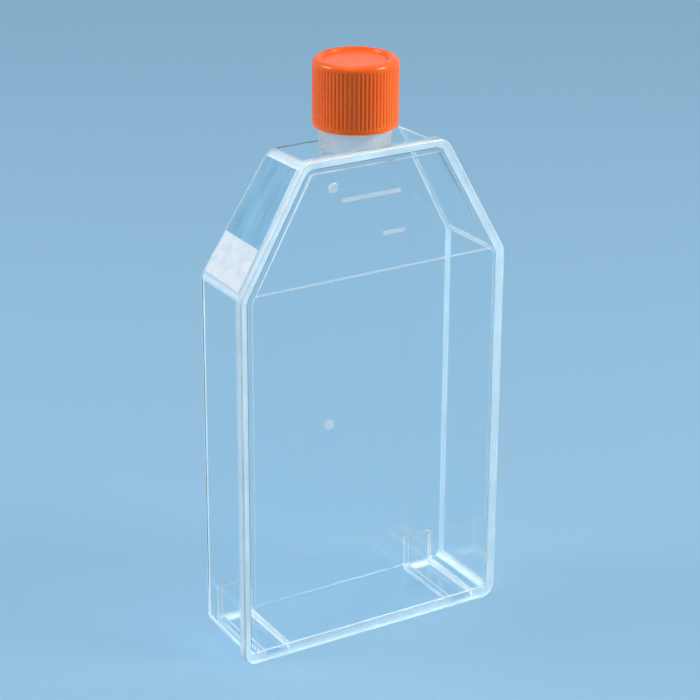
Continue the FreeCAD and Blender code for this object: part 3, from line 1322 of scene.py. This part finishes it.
    def is_rim_side(self, face: Face) -> bool:
        """True for the outside of the rim all round, on the tray or on the plate.

        Args:
            face: A face of the tray or of the plate.

        Returns:
            Whether it is on the rim's outside.
        """
        middle = face.calc_center_median()
        if abs(face.normal.y) > LEVEL or middle.y > self.places.weld_y + self.flange_thickness:
            return False
        ahead = middle + face.normal * self.flange_overhang
        half, top = self.outline.half_width, self.outline.top_z
        across, up = math.cos(self.outline.lean), math.sin(self.outline.lean)
        shoulder = half * across + self.outline.shoulder_z * up
        past_shoulder = abs(ahead.x) * across + ahead.z * up > shoulder
        return abs(ahead.x) > half or ahead.z > top or ahead.z < 0 or past_shoulder

    def is_back_edge(self, face: Face) -> bool:
        """True for the rounded edges between the roof and the outside walls.

        Args:
            face: A face of the tray.

        Returns:
            Whether it is on such an edge.
        """
        middle = face.calc_center_median()
        point, outwards = self.roof_point(middle.z)
        depth = (point - middle).dot(outwards)
        return self.is_rounded(face) and depth < self.roof_edge_r and not self.is_on_foot(middle)

    def is_foot_side(self, face: Face) -> bool:
        """True for the upright side walls of the feet, inside and outside.

        Args:
            face: A face of the tray.

        Returns:
            Whether it is on such a wall.
        """
        middle = face.calc_center_median()
        from_middle = abs(abs(middle.x) - self.foot_spacing / 2)
        at_side = from_middle > self.foot_width / 2 - self.wall - TINY
        return abs(face.normal.x) > LEANING and at_side and self.is_on_foot(middle)

    def is_collar(self, face: Face) -> bool:
        """True for the outside of the neck's collar, which shows under the cap.

        Args:
            face: A face of the tray.

        Returns:
            Whether it is on the collar.
        """
        middle = face.calc_center_median()
        out = math.hypot(middle.x, middle.y - self.places.neck_y) - self.neck_r
        rise = middle.z - self.places.top_z
        is_level = -self.flange_overhang < rise < self.collar_height + TINY
        return is_level and TINY < out < self.collar_step + TINY

    def dress_tray(self, tray: Piece) -> None:
        """Gives the tray its clear, welded, frosted and printed surfaces, with painted blue light on
        the frosting and a painted reflection of the cap on the collar.

        Args:
            tray: The moulded tray.
        """
        finishes = (CLEAR, WELD, FROST_AND_PAINTED_BLUE_LIGHT, PATCH, GATE, EDGE, NECK_HAZE_AND_CAP_REFLECTION, FOOT)
        dress(tray, *(finish.make() for finish in finishes))

        def on_weld(face: Face) -> bool:
            """True for the flange's face that is welded to the plate."""
            at_weld = face.calc_center_median().y < self.places.weld_y + TINY
            return face.normal.y < -SQUARE and at_weld

        paint(tray, TrayFinish.EDGE, lambda face: self.is_rounded(face) or self.is_rim_side(face))
        paint(tray, TrayFinish.WELD, self.is_back_edge)
        paint(tray, TrayFinish.FOOT, self.is_foot_side)
        paint(tray, TrayFinish.WELD, on_weld)
        # The collar gets the haze with the painted pink reflection of the cap.
        paint(tray, TrayFinish.NECK_HAZE_AND_CAP_REFLECTION, self.is_collar)
        self.mark_shoulder(tray)
        reach = self.gate_r + TINY + self.gate_depth
        for z in self.gate_heights:
            point, _ = self.roof_point(z)
            paint(
                tray, TrayFinish.GATE,
                lambda face: all((v.co - point).length < reach for v in face.verts),
            )

    def dress_plate(self, plate: Piece) -> None:
        """Gives the growth plate its clear faces, its soft edges and bend, and its frosted bars.

        Args:
            plate: The moulded plate.
        """
        dress(plate, PLATE.make(), EDGE.make(), GATE.make())

        def on_bend(face: Face) -> bool:
            """True for the narrow strip where the panel bends.

            Args:
                face: A face of the plate.

            Returns:
                Whether it is on the strip.
            """
            low, high = (self.fold_z + side * (self.bend_width / 2 + TINY) for side in (-1, 1))
            is_level = all(low < vertex.co.z < high for vertex in face.verts)
            return is_level and face.normal.y < -TOWARDS

        def on_bar(face: Face) -> bool:
            """True for the bars' faces.

            Args:
                face: A face of the plate.

            Returns:
                Whether it is on a bar.
            """
            proud = [self.panel_point(vertex.co.z).y - vertex.co.y for vertex in face.verts]
            is_near = all(-TINY < rise < 2 * self.bar_rise for rise in proud)
            return is_near and max(proud) > self.bar_rise / 2

        def on_recess(face: Face) -> bool:
            """True for the walls of the recess that the panel lies in.

            Args:
                face: A face of the plate.

            Returns:
                Whether it is on such a wall.
            """
            middle = face.calc_center_median()
            is_sunk = middle.y < self.panel_point(middle.z).y and middle.z > self.flange_overhang
            return is_sunk and abs(face.normal.y) < LEVEL

        for is_soft in (self.is_rounded, self.is_rim_side, on_recess, on_bend):
            paint(plate, PlateFinish.EDGE, is_soft)
        paint(plate, PlateFinish.BARS, on_bar)

    def build(self) -> None:
        """Moulds and dresses both clear pieces, and puts them in the frame."""
        tray, plate = self.tray(), self.plate()
        self.dress_tray(tray)
        self.dress_plate(plate)
        stand_for(tray, "flask_body", "flask")
        stand_for(plate, "growth_plate", "flask")


def edge_between(edge: Edge, first: Test, second: Test) -> bool:
    """True if an edge parts a face whose normal passes one test from one that passes another.

    Args:
        edge: The edge.
        first: The test for one face's normal.
        second: The test for the other's.

    Returns:
        Whether the edge lies between two such faces.
    """
    if len(edge.link_faces) != 2 or edge.calc_face_angle(0) < BEND_ANGLE:
        return False
    one, other = (face.normal for face in edge.link_faces)
    return (first(one) and second(other)) or (first(other) and second(one))


def stand_for(piece: Piece, node: str, body: str) -> None:
    """Finishes a dressed piece's surface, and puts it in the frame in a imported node's place.

    Args:
        piece: The dressed piece.
        node: The node that it stands for.
        body: The body that it rides on.
    """
    finish_surface(piece)
    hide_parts(node)
    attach(piece, body)
    LOG.info("%s: %d faces, rides on %s", piece.name, len(piece.data.polygons), body)


@dataclass(frozen=True)
class Thread:
    """The screw thread that the neck and the cap share: one start, right-handed."""

    axis_y: float
    pitch: float = 4.2 * MM
    depth: float = 1.1 * MM
    width: float = 2 * MM
    flank: float = math.radians(30)
    clearance: float = 0.3 * MM
    gap: float = 0.4 * MM
    root: float = 0.3 * MM
    fade_turns: float = 40 / 360
    steps_per_turn: int = 48
    neck_turns: float = 2.25
    neck_to_lip: float = 2.6 * MM
    cap_turns: float = 2.0
    cap_to_lip: float = 5.3 * MM

    def ridge(self, name: str, wall_r: float, side: int, first: float, turns: float,
              z_at_zero: float) -> Piece:
        """A helical ridge rooted in a round wall, whose ends sink into it.

        Args:
            name: The object's name.
            wall_r: The wall's radius.
            side: 1 for a ridge that stands outwards, -1 for one that stands inwards.
            first: The turn that it starts at.
            turns: How many turns it has.
            z_at_zero: The helix's height at turn zero.

        Returns:
            The new mesh object.
        """
        root_r, crest_r = wall_r - side * self.root, wall_r + side * self.depth
        root_half, crest_half = self.half_width(-self.root), self.half_width(self.depth)
        middle_r, reach = (root_r + crest_r) / 2, abs(crest_r - root_r)
        bpy.ops.mesh.primitive_plane_add(size=1, rotation=(math.pi / 2, 0, 0))
        piece = settle(bpy.context.object, name)
        with editing(piece):
            bpy.ops.mesh.select_all(action="SELECT")
            bpy.ops.transform.resize(value=(reach, 1, 2 * root_half), center_override=(0, 0, 0))
            bpy.ops.transform.translate(value=(middle_r, 0, 0))
            pick(Pick.VERTICES, lambda vertex: abs(vertex.co.x - crest_r) < TINY)
            taper = (1, 1, crest_half / root_half)
            bpy.ops.transform.resize(value=taper, center_override=(0, 0, 0))
            bpy.ops.mesh.select_all(action="SELECT")
            bpy.ops.mesh.delete(type="ONLY_FACE")
        steps = math.ceil(turns * self.steps_per_turn)
        slack = turns / steps / 3
        helix = piece.modifiers.new("helix", "SCREW")
        helix.angle = 2 * math.pi * turns
        helix.screw_offset = self.pitch * turns
        helix.steps = helix.render_steps = steps
        helix.use_merge_vertices = False
        bpy.ops.object.modifier_apply(modifier=helix.name)
        piece.location = (0, self.axis_y, z_at_zero + self.pitch * first)
        piece.rotation_euler = (0, 0, 2 * math.pi * first)
        settle(piece, name)
        with editing(piece):
            bpy.ops.mesh.select_all(action="SELECT")
            bpy.ops.mesh.fill_holes(sides=4)
            bpy.ops.mesh.select_all(action="SELECT")
            bpy.ops.mesh.normals_make_consistent(inside=False)
            for step in range(steps + 1):
                along = turns * step / steps
                share = min(1, along / self.fade_turns, (turns - along) / self.fade_turns)
                if share == 1:
                    continue
                height = (self.depth + self.root / 2) * math.sin(share * math.pi / 2) ** 2
                level = height - self.root / 2
                narrow = (wall_r + side * level) / crest_r
                pick(
                    Pick.VERTICES,
                    lambda vertex: self.is_on(vertex.co, crest_r, first + along, z_at_zero, slack),
                )
                bpy.ops.transform.resize(
                    value=(narrow, narrow, self.half_width(level) / crest_half),
                    center_override=(0, self.axis_y, z_at_zero + self.pitch * (first + along)),
                )
        return piece

    def half_width(self, level: float) -> float:
        """Half the ridge's width at a level above its wall."""
        return self.width / 2 - level * math.tan(self.flank)

    def is_on(self, place: Vector, radius: float, turn: float, z_at_zero: float,
              slack: float) -> bool:
        """Tells if a point is on the helix of a radius at a turn.

        Args:
            place: The point.
            radius: The helix's radius.
            turn: The turn.
            z_at_zero: The helix's height at turn zero.
            slack: The most that the turn may differ.

        Returns:
            Whether it is there.
        """
        x, y = place.x, place.y - self.axis_y
        phase = math.atan2(y, x) / (2 * math.pi)
        found = phase + round((place.z - z_at_zero) / self.pitch - phase)
        return abs(math.hypot(x, y) - radius) < TINY and abs(found - turn) < slack

    def neck_z(self, lip_z: float) -> float:
        """The height of the neck's helix at turn zero."""
        return lip_z - self.neck_to_lip - self.neck_turns * self.pitch

    def neck_ridge(self, neck_r: float, lip_z: float) -> Piece:
        """The ridge round the neck."""
        return self.ridge("neck_ridge", neck_r, 1, 0, self.neck_turns, self.neck_z(lip_z))

    def cap_ridge(self, bore_r: float, lip_z: float) -> Piece:
        """The ridge in the cap, which bears on the neck's from below.

        Args:
            bore_r: The cap's inner radius.
            lip_z: The height of the neck's lip.

        Returns:
            The new mesh object.
        """
        shared = self.width - (self.depth + self.gap) * math.tan(self.flank)
        z_at_zero = self.neck_z(lip_z) - shared - self.clearance / math.cos(self.flank)
        first = (lip_z - self.cap_to_lip - z_at_zero) / self.pitch - self.cap_turns
        return self.ridge("cap_ridge", bore_r, -1, first, self.cap_turns, z_at_zero)


@dataclass
class Cap:
    """The screw cap with its fine flutes, and the foam disc that it presses on the lip."""

    places: Places
    thread: Thread
    wall: float = 1.4 * MM
    top_thickness: float = 1.5 * MM
    rim_width: float = 3 * MM
    recess_slope: float = 0.8 * MM
    top_r: float = 2 * MM
    rim_r: float = 0.8 * MM
    skirt_r: float = 0.4 * MM
    flutes: int = 66
    flute_sides: int = 8
    flute_depths: tuple = ((0, 0.22 * MM), (1, 0.175 * MM))
    flute_to_skirt: float = 1.8 * MM
    flute_to_top: float = 0.4 * MM
    flute_end: float = 0.3 * MM
    liner_edge_r: float = 0.15 * MM
    liner_edge_steps: int = 3
    liner_dent: float = 0.1 * MM
    liner_sides: int = 96
    lip_width: float = 1.7 * MM

    def shell(self) -> Piece:
        """Moulds the cap: fluted skirt, recessed top and inner thread.

        Returns:
            The new mesh object.
        """
        places = self.places
        radius, top = places.cap_r, places.cap_top_z
        bore_r = radius - self.wall
        rim_r, panel_z = radius - self.rim_width, places.cap_inside_z + self.top_thickness
        low, high = places.skirt_z + self.flute_to_skirt, top - self.top_r - self.flute_to_top
        profile = eased([
            (bore_r, places.cap_inside_z, 0),
            (bore_r, places.skirt_z, self.skirt_r),
            (radius, places.skirt_z, self.skirt_r),
            (radius, low, 0),
            (radius, low + self.flute_end, 0),
            (radius, high - self.flute_end, 0),
            (radius, high, 0),
            (radius, top, self.top_r),
            (rim_r, top, self.rim_r),
            (rim_r - self.recess_slope, panel_z, self.rim_r / 2),
            (rim_r / 2, panel_z, 0),
        ])
        sides = self.flutes * self.flute_sides
        piece = turned("screw_cap", places.neck_y, profile, sides)

        def flute_place(vertex: Vertex) -> int:
            """How many sides a vertex is from the middle of the nearest flute.

            Args:
                vertex: A vertex of the cap's outside.

            Returns:
                The number of sides.
            """
            angle = math.atan2(vertex.co.y - places.neck_y, vertex.co.x)
            place = round(angle / (2 * math.pi) * sides) % self.flute_sides
            return min(place, self.flute_sides - place)

        def on_skirt(vertex: Vertex) -> bool:
            """True for the fluted part of the cap's outside."""
            from_axis = math.hypot(vertex.co.x, vertex.co.y - places.neck_y)
            return low + TINY < vertex.co.z < high - TINY and from_axis > radius - TINY

        with editing(piece):
            for place, depth in self.flute_depths:
                pick(
                    Pick.VERTICES,
                    lambda vertex: on_skirt(vertex) and flute_place(vertex) == place,
                )
                share = 1 - depth / radius
                bpy.ops.transform.resize(
                    value=(share, share, 1), center_override=(0, places.neck_y, 0)
                )
        combine(piece, Join.ADD, [self.thread.cap_ridge(bore_r, places.lip_z)])
        return piece

    def liner(self) -> Piece:
        """Cuts the foam disc, with the dent that the lip leaves in it.

        Returns:
            The new mesh object.
        """
        places = self.places
        radius, low, high = places.liner_r, places.lip_z, places.cap_inside_z
        dent_in, dent_out = places.bore_r, places.bore_r + self.lip_width
        profile = eased([
            (dent_in / 2, low, 0),
            (dent_in - self.liner_dent, low, 0),
            (dent_in, low + self.liner_dent, 0),
            (dent_out, low + self.liner_dent, 0),
            (dent_out + self.liner_dent, low, 0),
            (radius, low, self.liner_edge_r),
            (radius, high, self.liner_edge_r),
            (radius / 2, high, 0),
        ], self.liner_edge_steps)
        return turned("foam_disc", places.neck_y, profile, self.liner_sides)

    def build(self) -> None:
        """Makes, dresses and places the cap and its liner."""
        shell, liner = self.shell(), self.liner()
        dress(shell, ORANGE.make())
        dress(liner, FOAM.make())
        stand_for(shell, "cap_shell", "cap")
        stand_for(liner, "cap_liner", "liner")


@dataclass(frozen=True)
class Lamp:
    """A soft rectangular lamp, placed by degrees round from the camera and up from level."""

    name: str
    turn: float
    rise: float
    distance: float
    size: tuple
    power: float
    colour: tuple = (1.0, 1.0, 1.0)


@dataclass
class Studio:
    """The camera, the paper, the lamps and the world."""

    azimuth: float = math.radians(-31.184)
    elevation: float = math.radians(22.602)
    roll: float = math.radians(0.305)
    distance: float = 0.868
    lens: float = 119.72
    sensor: float = 36
    clips: tuple = (0.01, 50)
    aim_right: float = -0.00018
    aim_z: float = 0.11024
    paper_r: float = 4.0
    paper_sides: int = 96
    paper_gap: float = 0.1 * MM
    world_colour: tuple = (0.94, 0.97, 1.0)
    world_light: float = 0.25
    world_seen: tuple = (0.30, 0.52, 0.72)
    lamps: tuple = (
        Lamp("right_softbox", turn=80, rise=35, distance=1.1, size=(0.4, 0.35), power=12.5,
             colour=(1.0, 0.95, 0.85)),
        Lamp("left_softbox", turn=-86, rise=35, distance=1.1, size=(0.4, 0.35), power=9.0),
        Lamp("top_softbox", turn=170, rise=70, distance=1.2, size=(0.9, 0.9), power=1.3),
    )

    @property
    def aim(self) -> Vector:
        """The point that the camera looks at."""
        right = Vector((math.cos(self.azimuth), math.sin(self.azimuth), 0))
        return right * self.aim_right + Vector((0, 0, self.aim_z))

    def direction(self, azimuth: float, elevation: float) -> Vector:
        """The unit vector from the flask towards a place round it."""
        level = math.cos(elevation)
        return Vector((math.sin(azimuth) * level, -math.cos(azimuth) * level, math.sin(elevation)))

    def set_camera(self) -> None:
        """Places the camera and makes it the scene's."""
        turn = Euler((math.pi / 2 - self.elevation, 0, self.azimuth)).to_matrix()
        turn = turn @ Matrix.Rotation(self.roll, 3, "Z")
        place = self.aim + self.direction(self.azimuth, self.elevation) * self.distance
        bpy.ops.object.camera_add(location=place, rotation=turn.to_euler())
        camera = bpy.context.object
        camera.name = "camera"
        camera.data.lens = self.lens
        camera.data.sensor_width = self.sensor
        camera.data.clip_start, camera.data.clip_end = self.clips
        bpy.context.scene.camera = camera

    def lay_paper(self) -> None:
        """Lays the paper that the flask stands on."""
        bpy.ops.object.select_all(action="DESELECT")
        bpy.ops.mesh.primitive_circle_add(
            vertices=self.paper_sides, radius=self.paper_r, fill_type="NGON",
            location=(0, 0, -self.paper_gap),
        )
        paper = settle(bpy.context.object, "paper")
        dress(paper, StudioPaper().make())

    def hang_lamps(self) -> None:
        """Hangs each lamp and points it at the flask."""
        for lamp in self.lamps:
            away = self.direction(self.azimuth + math.radians(lamp.turn), math.radians(lamp.rise))
            turn = away.to_track_quat("Z", "Y").to_euler()
            place = self.aim + away * lamp.distance
            bpy.ops.object.light_add(type="AREA", location=place, rotation=turn)
            light = bpy.context.object
            light.name = lamp.name
            light.data.shape = "RECTANGLE"
            light.data.size, light.data.size_y = lamp.size
            light.data.energy = lamp.power
            light.data.color = lamp.colour

    def light_world(self) -> None:
        """Makes the world: soft light, and a plain pale colour where it is seen."""
        world = bpy.data.worlds.new("studio")
        bpy.context.scene.world = world
        world.use_nodes = True
        tree = world.node_tree
        tree.nodes.clear()
        output = tree.nodes.new("ShaderNodeOutputWorld")
        light, seen = (tree.nodes.new("ShaderNodeBackground") for _ in range(2))
        light.inputs["Color"].default_value = (*self.world_colour, 1)
        light.inputs["Strength"].default_value = self.world_light
        seen.inputs["Color"].default_value = (*self.world_seen, 1)
        first, second = light.outputs["Background"], seen.outputs["Background"]
        show_mixed(tree, output, seen_rays(tree), first, second)

    def build(self) -> None:
        """Sets the whole studio up."""
        self.set_camera()
        self.lay_paper()
        self.hang_lamps()
        self.light_world()
        bpy.context.scene.view_settings.view_transform = "Standard"
        LOG.info("studio: %d lamps", len(self.lamps))


def main() -> None:
    """Builds every piece in order."""
    Studio().build()
    places = Places.read()
    thread = Thread(places.neck_y)
    Flask(places, Outline(places.half_width, places.top_z), thread).build()
    Cap(places, thread).build()


if __name__ == "__main__":
    main()
